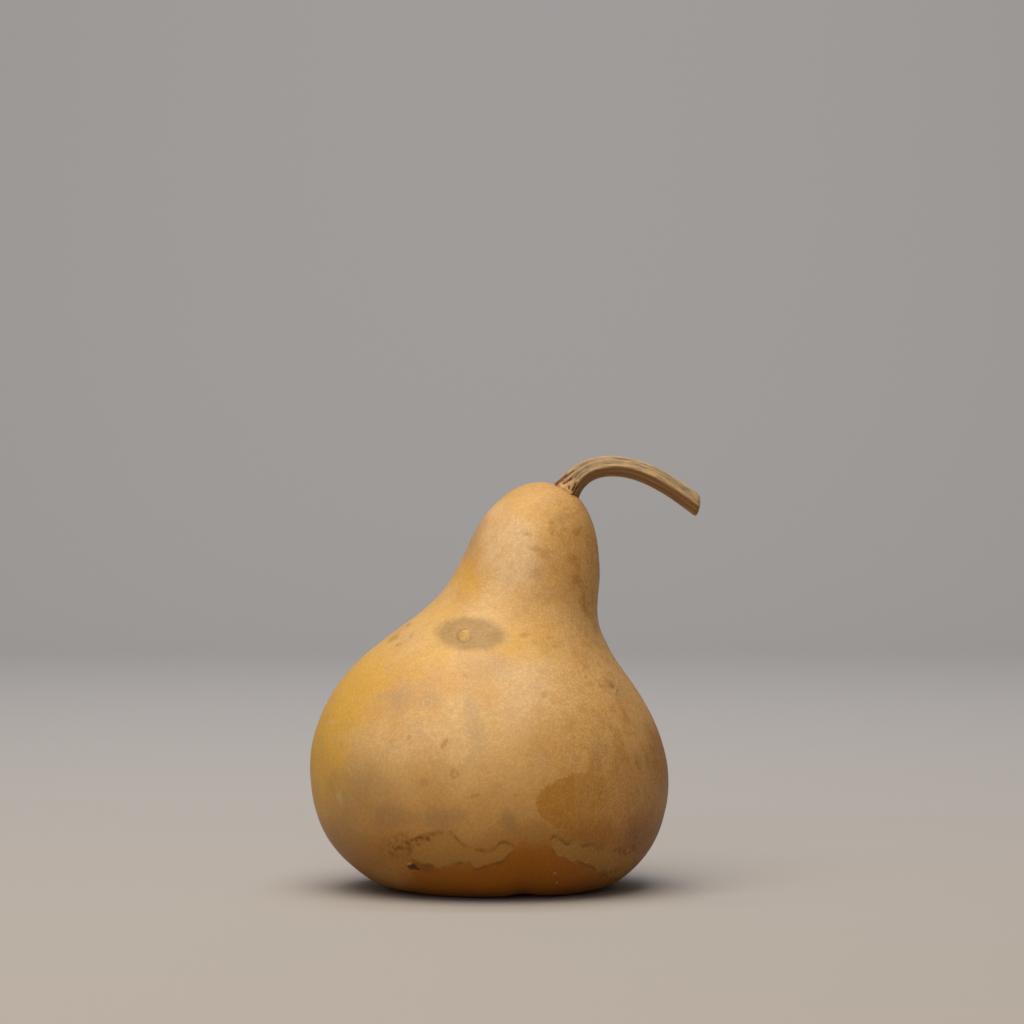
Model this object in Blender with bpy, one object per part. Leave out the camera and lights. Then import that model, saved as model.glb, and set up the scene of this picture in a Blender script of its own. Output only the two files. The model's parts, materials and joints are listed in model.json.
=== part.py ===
"""A small dried bottle gourd, pear-shaped, standing on its own base, with the woody stem that it hung by.

Metres, +Z up. The origin is on the surface that the gourd stands on, under the middle of its bounding box.
+X is the side that the stem bends over to, and -Y is the front.
"""

import math

import bmesh
import bpy
import numpy as np
from mathutils import Vector

MM = 0.001

# The gourd's outline, in mm in the plane through its middle: opposite points of the left and the right side,
# each as x and z, from the top of the neck down to the base. Between them lie the two ends of the gourd.
STEM_END = (18.0, 118.2)
RIBS = (
    (12.0, 120.3, 22.0, 115.3),
    (5.8, 119.7, 24.5, 111.8),
    (-0.2, 116.4, 26.6, 106.5),
    (-5.9, 110.5, 27.9, 99.2),
    (-10.6, 102.4, 28.2, 90.9),
    (-15.2, 93.0, 27.6, 83.2),
    (-22.9, 83.5, 28.6, 76.5),
    (-36.2, 73.6, 32.6, 68.2),
    (-48.3, 62.0, 39.1, 58.7),
    (-56.0, 47.5, 45.3, 47.2),
    (-57.6, 34.1, 48.4, 33.3),
    (-55.0, 20.0, 46.5, 19.4),
    (-47.4, 9.0, 40.4, 8.3),
    (-34.8, 0.9, 29.8, 0.7),
    (-19.5, 0.1, 15.5, 0.05),
)
BLOSSOM_END = (-2.0, -0.6)

DEPTH_SHARE = 0.965  # front to back, against left to right
LEAN_BACK = 2.5 * MM  # how far the top of the neck leans away from the front
LEAN_FROM, LEAN_TO = 45 * MM, 118 * MM  # the heights between which it leans
LUMP_TWO = 0.010  # the body's slow swellings round its girth, as shares of its radius
LUMP_THREE = 0.007
LUMPS_RISE, LUMPS_FALL = (0.5, 5), (12, 15)  # the ribs between which they rise and die away
RINGS_A_RIB = 3
SEGMENTS = 56

# The crease that runs from the blossom end up the front of the base, between two low swellings.
CREASE_X = 5.5 * MM
CREASE_WIDTH = 4.0 * MM
CREASE_DEPTH = 1.1 * MM
CREASE_START = 18.0 * MM  # how far in front of the middle it reaches its full depth
CREASE_TOP = 16.0 * MM
CREASE_INWARD = Vector((0, 1, 1.2))

# The stem's middle line, in mm: x, y and z, and the stem's radius there. It starts inside the neck.
STEM_LINE = (
    (15.4, 2.2, 113.4, 4.05),
    (18.1, 2.3, 117.9, 3.8),
    (21.2, 2.4, 121.5, 3.45),
    (25.6, 2.6, 124.1, 3.15),
    (31.9, 3.0, 124.9, 3.0),
    (39.1, 3.4, 123.6, 2.95),
    (46.3, 3.9, 120.4, 2.95),
    (53.1, 4.5, 116.1, 2.95),
    (60.7, 5.2, 110.5, 2.95),
)
STEM_STEPS = 5  # rings between two points of the line
STEM_SIDES = 40
STEM_RIDGES = 5
RIDGE_HEIGHT = 0.115  # shares of the stem's radius
RIB_HEIGHT = 0.045
HOLLOW_DEPTH = 0.035
RIDGE_SHARPNESS = 1.5
RIB_SHARPNESS = 2
RIDGE_TURN = math.radians(85)  # the first ridge's place round the stem, from its upper side to the front
BASE_TWIST = math.radians(28)  # the ridges' turn at the foot of the stem, gone halfway along

CUT_AT = Vector((57.0, 4.9, 113.6)) * MM  # the middle of the stem's cut end
CUT_NORMAL = Vector((0.955, 0.17, -0.24))
CUT_BLOCK = 20 * MM
FOOT_GAP = 0.35 * MM  # between the stem's foot and the neck

GOURD_COLOUR = (0.55, 0.30, 0.105, 1)
STEM_COLOUR = (0.40, 0.25, 0.115, 1)


def clear_scene():
    for obj in list(bpy.data.objects):
        bpy.data.objects.remove(obj)


def material(name, colour, roughness):
    made = bpy.data.materials.new(name)
    made.use_nodes = True
    surface = made.node_tree.nodes["Principled BSDF"]
    surface.inputs["Base Color"].default_value = colour
    surface.inputs["Roughness"].default_value = roughness
    surface.inputs["Metallic"].default_value = 0.0
    return made


def collection(name):
    made = bpy.data.collections.new(name)
    bpy.context.scene.collection.children.link(made)
    return made


def spline_controls(points, closed):
    """The control points of a cubic B-spline that goes through the points."""
    points = np.array(points, float)
    count = len(points)
    system = np.zeros((count, count))
    for i in range(count):
        system[i, i] = 4
        if closed or 0 < i < count - 1:
            system[i, (i - 1) % count] += 1
            system[i, (i + 1) % count] += 1
        else:
            system[i, i] = 6
    return np.linalg.solve(system / 6, points)


def spline_point(controls, t, closed):
    """The spline's point at t, where whole numbers are the points it goes through."""
    count = len(controls)
    start = math.floor(t) if closed else min(math.floor(t), count - 2)
    u = t - start
    weights = ((1 - u) ** 3, 3 * u**3 - 6 * u**2 + 4, -3 * u**3 + 3 * u**2 + 3 * u + 1, u**3)
    places = [start - 1, start, start + 1, start + 2]
    if closed:
        near = [controls[p % count] for p in places]
    else:
        # Past an end, the controls run on in a straight line.
        near = [
            2 * controls[0] - controls[1] if p < 0
            else 2 * controls[-1] - controls[-2] if p >= count
            else controls[p]
            for p in places
        ]
    return sum(w * c for w, c in zip(weights, near)) / 6


def smooth(low, high, value):
    """0 below low and 1 above high, with an even rise between."""
    u = min(1.0, max(0.0, (value - low) / (high - low)))
    return u * u * (3 - 2 * u)


def pressed(point):
    """The point with the crease pressed in and the underside worn flat where the gourd rests."""
    across = (point.x - CREASE_X) / CREASE_WIDTH
    front = smooth(0, CREASE_START, -point.y)
    depth = CREASE_DEPTH * math.exp(-across * across) * front * (1 - smooth(0, CREASE_TOP, point.z))
    moved = point + CREASE_INWARD.normalized() * depth
    moved.z = max(moved.z, 0.0)
    return moved


def gourd_ring(left, right, place):
    """The ring of points round the gourd between two opposite points of its outline."""
    left, right = Vector((left[0], 0, left[1])) * MM, Vector((right[0], 0, right[1])) * MM
    middle, half = (left + right) / 2, (right - left) / 2
    across = Vector((0, half.length * DEPTH_SHARE, 0))
    lean = LEAN_BACK * smooth(LEAN_FROM, LEAN_TO, middle.z)
    lumps = smooth(*LUMPS_RISE, place) * (1 - smooth(*LUMPS_FALL, place))
    ring = []
    for k in range(SEGMENTS):
        a = 2 * math.pi * k / SEGMENTS
        swell = 1 + lumps * (LUMP_TWO * math.sin(2 * a) + LUMP_THREE * math.sin(3 * a))
        point = middle + (half * math.cos(a) + across * math.sin(a)) * swell
        point.y += lean
        ring.append(pressed(point))
    return ring


def loft(name, start, rings, end):
    """A closed mesh through the rings, which closes on a point at each end."""
    mesh = bpy.data.meshes.new(name)
    made = bmesh.new()
    first, last = made.verts.new(start), made.verts.new(end)
    rows = [[made.verts.new(p) for p in ring] for ring in rings]
    for k in range(SEGMENTS):
        n = (k + 1) % SEGMENTS
        made.faces.new((first, rows[0][k], rows[0][n]))
        made.faces.new((last, rows[-1][n], rows[-1][k]))
        for upper, lower in zip(rows, rows[1:]):
            made.faces.new((upper[k], lower[k], lower[n], upper[n]))
    bmesh.ops.recalc_face_normals(made, faces=made.faces)
    made.to_mesh(mesh)
    made.free()
    mesh.shade_smooth()
    return mesh


def make_gourd(parts, finish):
    """The gourd's body: a loft down the bent, lopsided pear, closed at its stem end and its blossom end."""
    left = [rib[:2] for rib in RIBS]
    right = [rib[2:] for rib in RIBS]
    outline = spline_controls([STEM_END, *left, BLOSSOM_END, *reversed(right)], closed=True)
    steps = (len(RIBS) + 1) * RINGS_A_RIB
    rings = []
    for step in range(1, steps):
        t = step / RINGS_A_RIB
        rings.append(gourd_ring(spline_point(outline, t, True), spline_point(outline, -t, True), t))
    top = Vector((STEM_END[0] * MM, LEAN_BACK, STEM_END[1] * MM))
    bottom = Vector((BLOSSOM_END[0] * MM, 0, 0))
    gourd = bpy.data.objects.new("gourd", loft("gourd", top, rings, bottom))
    gourd.data.materials.append(finish)
    parts.objects.link(gourd)
    return gourd


def stem_section():
    """The stem's outline across: five ridges with a lesser rib in each hollow between them, at radius 1."""
    section = bpy.data.curves.new("stem_section", "CURVE")
    section.dimensions = "2D"
    line = section.splines.new("POLY")
    line.points.add(STEM_SIDES - 1)
    line.use_cyclic_u = True
    for k, point in enumerate(line.points):
        a = 2 * math.pi * k / STEM_SIDES
        ridge = RIDGE_HEIGHT * (0.5 + 0.5 * math.cos(STEM_RIDGES * a)) ** RIDGE_SHARPNESS
        rib = RIB_HEIGHT * (0.5 + 0.5 * math.cos(2 * STEM_RIDGES * a)) ** RIB_SHARPNESS
        radius = 1 - HOLLOW_DEPTH + ridge + rib
        point.co = (radius * math.cos(a), radius * math.sin(a), 0, 1)
    return bpy.data.objects.new("stem_section", section)


def stem_tube(guides):
    """The stem's curve, from inside the neck to past its cut end, as a closed mesh."""
    controls = spline_controls(np.array(STEM_LINE) * MM, closed=False)
    count = (len(STEM_LINE) - 1) * STEM_STEPS + 1
    curve = bpy.data.curves.new("stem_line", "CURVE")
    curve.dimensions = "3D"
    curve.twist_mode = "Z_UP"
    curve.bevel_mode = "OBJECT"
    curve.bevel_object = stem_section()
    curve.bevel_object.hide_render = True
    curve.bevel_object.display_type = "WIRE"
    guides.objects.link(curve.bevel_object)
    curve.use_fill_caps = True
    line = curve.splines.new("POLY")
    line.points.add(count - 1)
    for k, point in enumerate(line.points):
        x, y, z, radius = spline_point(controls, k / STEM_STEPS, False)
        point.co = (x, y, z, 1)
        point.radius = radius
        point.tilt = RIDGE_TURN + BASE_TWIST * (1 - smooth(0, 0.5, k / (count - 1)))
    guide = bpy.data.objects.new("stem_line", curve)
    guides.objects.link(guide)
    bpy.context.view_layer.update()
    mesh = bpy.data.meshes.new_from_object(guide.evaluated_get(bpy.context.evaluated_depsgraph_get()))
    bpy.data.objects.remove(guide)
    made = bmesh.new()
    made.from_mesh(mesh)
    bmesh.ops.remove_doubles(made, verts=made.verts, dist=0.001 * MM)
    bmesh.ops.recalc_face_normals(made, faces=made.faces)
    made.to_mesh(mesh)
    made.free()
    return mesh


def cutter(name, mesh, guides):
    made = bpy.data.objects.new(name, mesh)
    made.hide_render = True
    made.display_type = "WIRE"
    guides.objects.link(made)
    return made


def cut(obj, tool):
    difference = obj.modifiers.new("cut by " + tool.name, "BOOLEAN")
    difference.operation = "DIFFERENCE"
    difference.object = tool


def make_stem(parts, guides, gourd, finish):
    """The stem, its foot shaped to the neck that it stands on and its far end cut off aslant."""
    stem = bpy.data.objects.new("stem", stem_tube(guides))
    parts.objects.link(stem)

    neck = cutter("neck_clearance", gourd.data.copy(), guides)
    grow = neck.modifiers.new("gap", "DISPLACE")
    grow.strength = FOOT_GAP
    grow.mid_level = 0.0
    cut(stem, neck)

    block = bpy.data.meshes.new("saw_cut")
    made = bmesh.new()
    bmesh.ops.create_cube(made, size=CUT_BLOCK)
    made.to_mesh(block)
    made.free()
    saw = cutter("saw_cut", block, guides)
    normal = CUT_NORMAL.normalized()
    saw.location = CUT_AT + normal * CUT_BLOCK / 2
    saw.rotation_euler = normal.to_track_quat("Z", "Y").to_euler()
    cut(stem, saw)

    stem.data.materials.clear()
    stem.data.materials.append(finish)
    stem.data.shade_smooth()
    stem.data.set_sharp_from_angle(angle=math.radians(40))
    return stem


def main():
    clear_scene()
    parts = collection("bottle_gourd")
    guides = collection("guides")
    gourd = make_gourd(parts, material("dried_rind", GOURD_COLOUR, 0.5))
    make_stem(parts, guides, gourd, material("woody_stem", STEM_COLOUR, 0.75))


main()
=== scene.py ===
"""The looks of a small dried bottle gourd: its mottled rind and its ridged woody stem, in soft studio light.

Metres in the scene, +Z up, -Y the front. The shapes and the marks are given in millimetres.
"""

import json
import math

import bpy
import numpy as np
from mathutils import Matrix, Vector, noise

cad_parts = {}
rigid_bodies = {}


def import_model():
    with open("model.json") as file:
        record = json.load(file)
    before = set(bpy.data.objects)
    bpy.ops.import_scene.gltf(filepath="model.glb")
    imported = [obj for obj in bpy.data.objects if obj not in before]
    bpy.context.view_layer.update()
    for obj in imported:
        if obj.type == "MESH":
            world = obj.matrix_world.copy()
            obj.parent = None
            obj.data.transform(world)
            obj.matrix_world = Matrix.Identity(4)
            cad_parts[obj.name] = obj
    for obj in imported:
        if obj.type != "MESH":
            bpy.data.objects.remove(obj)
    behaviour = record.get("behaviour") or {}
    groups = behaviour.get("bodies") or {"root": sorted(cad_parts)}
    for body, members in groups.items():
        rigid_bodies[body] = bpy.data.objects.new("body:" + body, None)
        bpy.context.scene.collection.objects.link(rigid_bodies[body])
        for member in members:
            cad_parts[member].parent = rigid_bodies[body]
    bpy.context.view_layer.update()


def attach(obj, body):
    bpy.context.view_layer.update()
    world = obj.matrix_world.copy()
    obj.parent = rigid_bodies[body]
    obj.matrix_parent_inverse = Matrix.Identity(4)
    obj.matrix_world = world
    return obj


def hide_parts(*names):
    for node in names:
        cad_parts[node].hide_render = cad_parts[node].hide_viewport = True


for startup in list(bpy.data.objects):
    bpy.data.objects.remove(startup)
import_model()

MM = 0.001

# The camera stands where the photograph was taken from, nearly level with the stem.
CAMERA = Vector((0.0021, -1.26, 0.132))
CAMERA_TILT = math.radians(89.06)
LENS, SENSOR = 100, 24

# The gourd's outline, in mm in the plane through its middle: opposite points of the left and the right side,
# each as x and z, from the top of the neck down to the base. Between them lie the two ends of the gourd.
STEM_END = (18.0, 118.2)
RIBS = (
    (12.0, 120.3, 22.0, 115.3),
    (5.8, 119.7, 24.5, 111.8),
    (-0.2, 116.4, 26.6, 106.5),
    (-5.9, 110.5, 27.9, 99.2),
    (-10.6, 102.4, 28.2, 90.9),
    (-15.2, 93.0, 27.6, 83.2),
    (-22.9, 83.5, 28.6, 76.5),
    (-36.2, 73.6, 32.6, 68.2),
    (-48.3, 62.0, 39.1, 58.7),
    (-56.0, 47.5, 45.3, 47.2),
    (-57.6, 34.1, 48.4, 33.3),
    (-55.0, 20.0, 46.5, 19.4),
    (-47.4, 9.0, 40.4, 8.3),
    (-34.8, 0.9, 29.8, 0.7),
    (-19.5, 0.1, 15.5, 0.05),
)
BLOSSOM_END = (-2.0, -0.6)
DEPTH_SHARE = 0.965  # front to back, against left to right
LEAN_BACK = 2.5  # how far the top of the neck leans away from the front
LEAN_FROM, LEAN_TO = 45, 118  # the heights between which it leans
LUMP_TWO, LUMP_THREE = 0.010, 0.007  # the slow swellings round the body, as shares of its radius
LUMPS_RISE, LUMPS_FALL = (0.5, 5), (12, 15)  # the ribs between which they rise and die away
# The crease that runs up the front of the base: its place, width and depth, how far in front of the
# middle it reaches that depth, and the height where it ends.
CREASE_X, CREASE_WIDTH, CREASE_DEPTH = 5.5, 4.0, 1.1
CREASE_START, CREASE_TOP = 18, 16
CREASE_INWARD = (0, 0.64, 0.768)

RINGS, SEGMENTS = 256, 336
BACK_CROWDING = 0.4  # how much closer than on average the mesh's lines are at the back, and wider in front

# The stem's middle line, in mm: x, y and z, and the stem's radius there. It starts inside the neck.
STEM_LINE = (
    (15.4, 2.2, 113.4, 4.05),
    (18.1, 2.3, 117.9, 3.8),
    (21.2, 2.4, 121.5, 3.45),
    (25.6, 2.6, 124.1, 3.15),
    (31.9, 3.0, 124.9, 3.0),
    (39.1, 3.4, 123.6, 2.95),
    (46.3, 3.9, 120.4, 2.95),
    (53.1, 4.5, 116.1, 2.95),
    (60.7, 5.2, 110.5, 2.95),
)
STEM_RIDGES = 5
RIDGE_HEIGHT, RIB_HEIGHT, HOLLOW_DEPTH = 0.115, 0.045, 0.035  # as shares of the stem's radius
RIDGE_SHARPNESS, RIB_SHARPNESS = 1.5, 2
RIDGE_TURN = math.radians(85)  # the first ridge's place, from the stem's upper side to its front
BASE_TWIST = math.radians(28)
CUT_AT = np.array((57.0, 4.9, 113.6))
CUT_NORMAL = np.array((0.956, 0.170, -0.240))
STEM_STARTS = 0.55  # on the line: just under the neck's skin
STEM_RINGS, STEM_SIDES = 260, 168
SIDE_RADIUS = 3.2  # what stands for the stem's radius in the places that its finish reads
UNDERSIDE = (1, 6, 168, 192)  # in degrees past the main ridge: where the brown underside starts and ends
# Gashes in the stem's foot, each from one place to another and with its half width, in mm. A place is how far
# along the stem it is, and how far from the stem's middle line towards its upper side.
GASHES = (
    ((1.0, 2.95), (2.5, 2.85), 0.16),
    ((2.5, 2.75), (3.5, 2.50), 0.48),
    ((3.6, 2.65), (5.0, 2.30), 0.34),
    ((5.2, 2.35), (7.6, 2.00), 0.08),
    ((4.3, 1.15), (5.5, 0.85), 0.30),
    ((3.3, 1.45), (3.7, 1.35), 0.15),
    ((3.7, -1.10), (5.2, -0.90), 0.32),
    ((3.0, -0.35), (3.4, -0.30), 0.14),
    ((2.0, -2.35), (5.2, -1.95), 0.14),
)
GASH_DEPTH = 0.26
# The unevenness of the stem's sides: height and width of its waves, where their noise starts, and their
# width as a share of their length.
STEM_WAVES = ((0.07, 0.75, 2.2, 0.10), (0.035, 0.32, 9.1, 0.10), (0.10, 3.5, 6.3, 0.35))
FOOT_FLARE, FOOT_LENGTH = 0.16, 3.2  # how much thicker the stem's foot is, as a share, and over what length
SCRAPED, SCRAPED_TOP = 0.12, 0.15  # how far the sides lie under the plain form, and how much more on top
CUT_SHORT = 0.3  # how far before the cut the sides end
CUT_BLEND = 7  # how far before their end they start to slant like the cut
ROUNDED, ROUNDED_TOP = 0.28, 0.10  # how much the rim is rounded, and how much more on top
ROUNDED_OVER = 1.2  # the length over which it is rounded
# How far the cut's rim stands out: degrees round it, from the stem's upper side to its front, and mm.
CUT_RIM = (
    (0, 0.0), (30, 0.33), (60, 0.58), (90, 0.53), (115, 0.70), (135, 0.65), (160, 0.40), (180, 0.20),
    (360, 0.0),
)
# The rings of the cut end: their share of the rim's radius, mm past the rim, and how far they are cut wood.
CUT_RINGS = (
    (0.975, 0.13, 0), (0.93, 0.25, 0.2), (0.87, 0.30, 0.7), (0.78, 0.26, 1), (0.64, 0.10, 1),
    (0.46, -0.2, 1), (0.22, -0.45, 1),
)

# Where the gourd shows each mark, in mm, as x and z, seen from the front in the plane through its middle.
KNOB, KNOB_RADII, KNOB_HEIGHT = (-12.0, 74.8), (1.8, 1.75), 0.5
KNOB_MOAT = 0.12  # how deep the rind is sunk round the knob
SCAB, SCAB_RADII, SCAB_DEPTH = (-27.4, 6.5), (1.5, 0.9), 0.6
FLAP, FLAP_RADII, FLAP_HEIGHT = (-28.3, 7.2), (1.0, 0.5), 0.55

# The rind's soft unevenness: height and width of its waves, and where their noise starts.
WAVES = ((0.22, 19, 3.1), (0.10, 7.5, 8.7), (0.03, 2.6, 1.9))
SUNK = 0.15  # how far the rind lies under the plain form on the whole
# The blossom end underneath: the number, depth and fade of its puckers, and the depth and fade of its scar.
PUCKERS, PUCKER_DEPTH, PUCKER_REACH = 11, 0.16, (5, 19)
SCAR_DEPTH, SCAR_EDGE = 0.75, (2.6, 3.9)

# The rind's colours.
TAN = (0.650, 0.392, 0.150, 1)
OCHRE = (0.600, 0.330, 0.105, 1)
YELLOW = (0.650, 0.358, 0.050, 1)
# Paler rind, which the pale patches also use as a painted sheen.
PALE_AND_SHEEN = (0.700, 0.462, 0.245, 1)
MAUVE = (0.475, 0.298, 0.150, 1)
OLIVE = (0.335, 0.205, 0.068, 1)
RUSSET = (0.480, 0.238, 0.062, 1)
BROWN = (0.340, 0.148, 0.022, 1)
RUST = (0.385, 0.162, 0.026, 1)
ORANGE = (0.400, 0.165, 0.014, 1)
AMBER = (0.300, 0.096, 0.002, 1)
DEEP_ORANGE = (0.330, 0.104, 0.001, 1)
TIDE = (0.390, 0.192, 0.042, 1)
RING_GREY = (0.355, 0.205, 0.068, 1)
SPOT_BROWN = (0.270, 0.108, 0.018, 1)
GREY_BROWN = (0.190, 0.105, 0.032, 1)
ASH = (0.250, 0.145, 0.062, 1)
UMBER = (0.150, 0.055, 0.008, 1)
DARK_BROWN = (0.080, 0.030, 0.008, 1)
CHIP = (0.620, 0.430, 0.240, 1)
KNOB_GOLD = (0.520, 0.320, 0.095, 1)
SHEEN = (1.0, 0.82, 0.55, 1)
# What darkens the colours under it, as shares of them.
TORN_MOTTLE = (0.79, 0.66, 0.45, 1)
FINE_MOTTLE = (0.74, 0.68, 0.60, 1)
SOFT_MOTTLE = (0.86, 0.81, 0.71, 1)
WINDING_LINE = (0.78, 0.72, 0.62, 1)

# Soft patches as the front shows them. Each kind has a name and a colour, and each patch of it a middle and
# two radii in mm, a turn in degrees and a strength.
PATCHES = (
    ("yellow", YELLOW, (
        # The first two yellow patches, at the left edge, are partly the rind's own yellow and partly painted
        # light on the side that the light comes from.
        ((-46, 57), (9, 21), -32, 0.85),
        ((-54, 37), (8, 18), 0, 0.90),
        ((-12, 92), (4.5, 8), 25, 0.50),
        ((-21, 81), (8, 6), 40, 0.35),
        ((4, 116), (15, 6), -15, 0.35),
        ((6, 72), (12, 7), 0, 0.40),
        ((-22, 69), (13, 5), 30, 0.45),
    )),
    # The pale patches are partly paler rind and partly a painted sheen where the light glances off the neck
    # and the belly.
    ("pale", PALE_AND_SHEEN, (
        ((2, 100), (9, 15), 12, 0.75),
        ((6, 60), (9, 11), 0, 0.45),
        ((4, 49), (7, 9), 0, 0.40),
        ((-22, 44), (14, 8), 0, 0.35),
    )),
    ("mauve", MAUVE, (
        ((-31, 56), (4.5, 4.6), 0, 0.60),
        ((-22, 56.5), (4, 3.4), 30, 0.58),
        ((-9.5, 50), (3.5, 13), 8, 0.60),
        ((-5, 65), (9, 5), 0, 0.45),
        ((-8.6, 104.9), (2.2, 7), -33, 0.75),
    )),
    ("olive", OLIVE, (
        ((-43, 29), (12, 11), 25, 0.46),
        ((-46, 18), (8, 6), 30, 0.15),
        ((8, 16.4), (4, 2.6), 0, 0.50),
        ((18.3, 110.2), (2.4, 1.3), 15, 0.35),
    )),
    ("russet", RUSSET, (
        ((35, 35), (16, 25), 0, 0.40),
        ((23, 95), (8, 20), 0, 0.12),
        ((14, 45), (12, 8), 0, 0.30),
        ((7, 118), (17, 8), -15, 0.42),
        ((-32, 3), (12, 4), 10, 0.60),
        ((35, 6), (8, 4), -15, 0.50),
    )),
    ("rust", RUST, (
        ((20, 99), (6, 13), 0, 0.18),
        ((35, 36), (5, 9), 20, 0.25),
    )),
    ("amber", AMBER, (
        # The first two amber patches, at the right edge, are partly the rind's own deep orange and partly a
        # painted warm reflection along that edge.
        ((44, 12), (9, 12), 0, 0.92),
        ((49, 41), (8, 17), 0, 0.60),
        ((26, 16), (13, 5), 0, 0.50),
        ((6, 16), (9, 4), 0, 0.30),
    )),
    ("ash", ASH, (
        ((-34, 21.4), (6.5, 4.4), 10, 0.42),
        ((-19.5, 20.6), (8.5, 4.2), 0, 0.48),
        ((1.0, 19.6), (3.0, 3.6), 0, 0.50),
        ((8.6, 93.9), (3, 2.4), 0, 0.30),
        ((27.5, 77), (1.6, 3), 0, 0.30),
        ((27, 41), (3, 5), 0, 0.25),
        ((38.5, 16.5), (4, 3), 30, 0.25),
    )),
)
PATCH_SWAY, PATCH_SWAY_SIZE = 2.6, 7  # how far and how finely the patches' edges wander

# Brown mottles with torn edges.
MOTTLES = (
    ((20.0, 101.0), (7.0, 12.0), 0, 0.14),
    ((26.0, 84.0), (5.0, 11.0), 8, 0.30),
    ((13.0, 100.0), (6.0, 5.0), 0, 0.10),
    ((5.3, 115.2), (2.2, 1.3), 20, 0.60),
    ((9.9, 111.6), (2.0, 1.4), 0, 0.40),
    ((15.4, 108.6), (2.2, 2.0), 0, 0.85),
    ((14.3, 105.4), (3.0, 1.9), -20, 0.85),
    ((19.3, 105.5), (3.4, 3.4), 0, 0.60),
    ((7.0, 103.8), (4.4, 1.4), 10, 0.50),
    ((10.9, 99.8), (4.8, 1.8), -8, 0.90),
    ((19.8, 97.4), (4.0, 2.6), -20, 0.75),
    ((21.0, 91.5), (2.0, 3.2), 15, 0.70),
    ((23.4, 86.0), (2.2, 4.4), 20, 0.65),
    ((25.2, 81.0), (1.3, 2.2), 20, 0.65),
    ((-14.0, 63.2), (4.0, 1.6), 0, 0.40),
    ((-25.0, 69.6), (2.0, 1.0), 0, 0.60),
    ((10.5, 73.2), (5.0, 2.6), -15, 0.45),
    ((26.5, 100.0), (2.5, 9.0), 0, 0.50),
    ((-2.0, 108.0), (3.5, 2.0), 0, 0.30),
    ((11.0, 92.0), (4.0, 2.2), 0, 0.40),
    ((37.0, 42.0), (7.0, 11.0), 20, 0.36),
    ((22.0, 66.0), (6.0, 5.0), -30, 0.40),
)


def smooth(low, high, value):
    """0 below low and 1 above high, with an even rise between. Works on arrays."""
    u = np.clip((value - low) / (high - low), 0, 1)
    return u * u * (3 - 2 * u)


def spline_controls(points, closed):
    """The control points of a cubic B-spline that goes through the points."""
    points = np.array(points, float)
    count = len(points)
    system = np.zeros((count, count))
    for i in range(count):
        system[i, i] = 4
        if closed or 0 < i < count - 1:
            system[i, (i - 1) % count] += 1
            system[i, (i + 1) % count] += 1
        else:
            system[i, i] = 6
    return np.linalg.solve(system / 6, points)


def spline_points(controls, places, closed):
    """The spline's points at these places, where whole numbers are the points it goes through."""
    count = len(controls)
    if not closed:
        # Past an end, the controls run on in a straight line.
        controls = np.vstack([2 * controls[0] - controls[1], controls, 2 * controls[-1] - controls[-2]])
    start = np.floor(places).astype(int) if closed else np.minimum(np.floor(places).astype(int), count - 2)
    u = (places - start)[:, None]
    weights = ((1 - u) ** 3, 3 * u**3 - 6 * u**2 + 4, -3 * u**3 + 3 * u**2 + 3 * u + 1, u**3)
    first = start - 1 if closed else start
    size = len(controls)
    return sum(w * controls[(first + k) % size] for k, w in enumerate(weights)) / 6


def seen_from_front(points):
    """Each point's place in the plane through the gourd's middle, on the line from the camera through it."""
    eye = np.array(CAMERA) / MM
    share = -eye[1] / (points[..., 1] - eye[1])
    return eye[0] + (points[..., 0] - eye[0]) * share, eye[2] + (points[..., 2] - eye[2]) * share


def rough(points, size, offset):
    """Smooth noise between -1 and 1 at each point, with features of this size in mm."""
    flat = (points.reshape(-1, 3) / size + offset).tolist()
    return np.array([noise.noise(p) for p in flat]).reshape(points.shape[:-1])


def outward(points):
    """The unit normals of a grid of points whose rows are closed rings."""
    around = np.roll(points, -1, 1) - np.roll(points, 1, 1)
    down = np.gradient(points, axis=0)
    normal = np.cross(around, down)
    middle = points.mean(1, keepdims=True)
    if (normal * (points - middle)).sum() < 0:
        normal = -normal
    return normal / np.maximum(np.linalg.norm(normal, axis=2, keepdims=True), 1e-9)


def grid_mesh(name, points, start, end, layers):
    """A closed mesh in metres through rings of points in mm, closed on a point at each end.

    layers holds a value or a vector for each point, which the finish reads.
    """
    rings, sides = points.shape[:2]
    corners = np.vstack([points.reshape(-1, 3), start, end]) * MM
    ring, side = np.meshgrid(np.arange(rings - 1), np.arange(sides), indexing="ij")
    here = ring * sides + side
    beside = ring * sides + (side + 1) % sides
    quads = np.stack([here, here + sides, beside + sides, beside], -1).reshape(-1, 4)
    k = np.arange(sides)
    n = (k + 1) % sides
    last = (rings - 1) * sides
    start_fan = np.stack([np.full(sides, rings * sides), k, n], -1)
    end_fan = np.stack([np.full(sides, rings * sides + 1), last + n, last + k], -1)
    mesh = bpy.data.meshes.new(name)
    mesh.from_pydata(corners.tolist(), [], quads.tolist() + start_fan.tolist() + end_fan.tolist())
    mesh.update()
    for layer, values in layers.items():
        values = values.astype(np.float32)
        ends = np.stack([values[0].mean(0), values[-1].mean(0)])
        if values.ndim == 3:
            made = mesh.attributes.new(layer, "FLOAT_VECTOR", "POINT")
            made.data.foreach_set("vector", np.vstack([values.reshape(-1, 3), ends]).ravel())
        else:
            made = mesh.attributes.new(layer, "FLOAT", "POINT")
            made.data.foreach_set("value", np.concatenate([values.ravel(), ends]))
    mesh.shade_smooth()
    return mesh


def faces_out(mesh):
    """Turns the mesh's faces outwards if they point in."""
    area = sum(p.normal.dot(p.center) * p.area for p in mesh.polygons)
    if area < 0:
        mesh.flip_normals()
    return mesh


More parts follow.
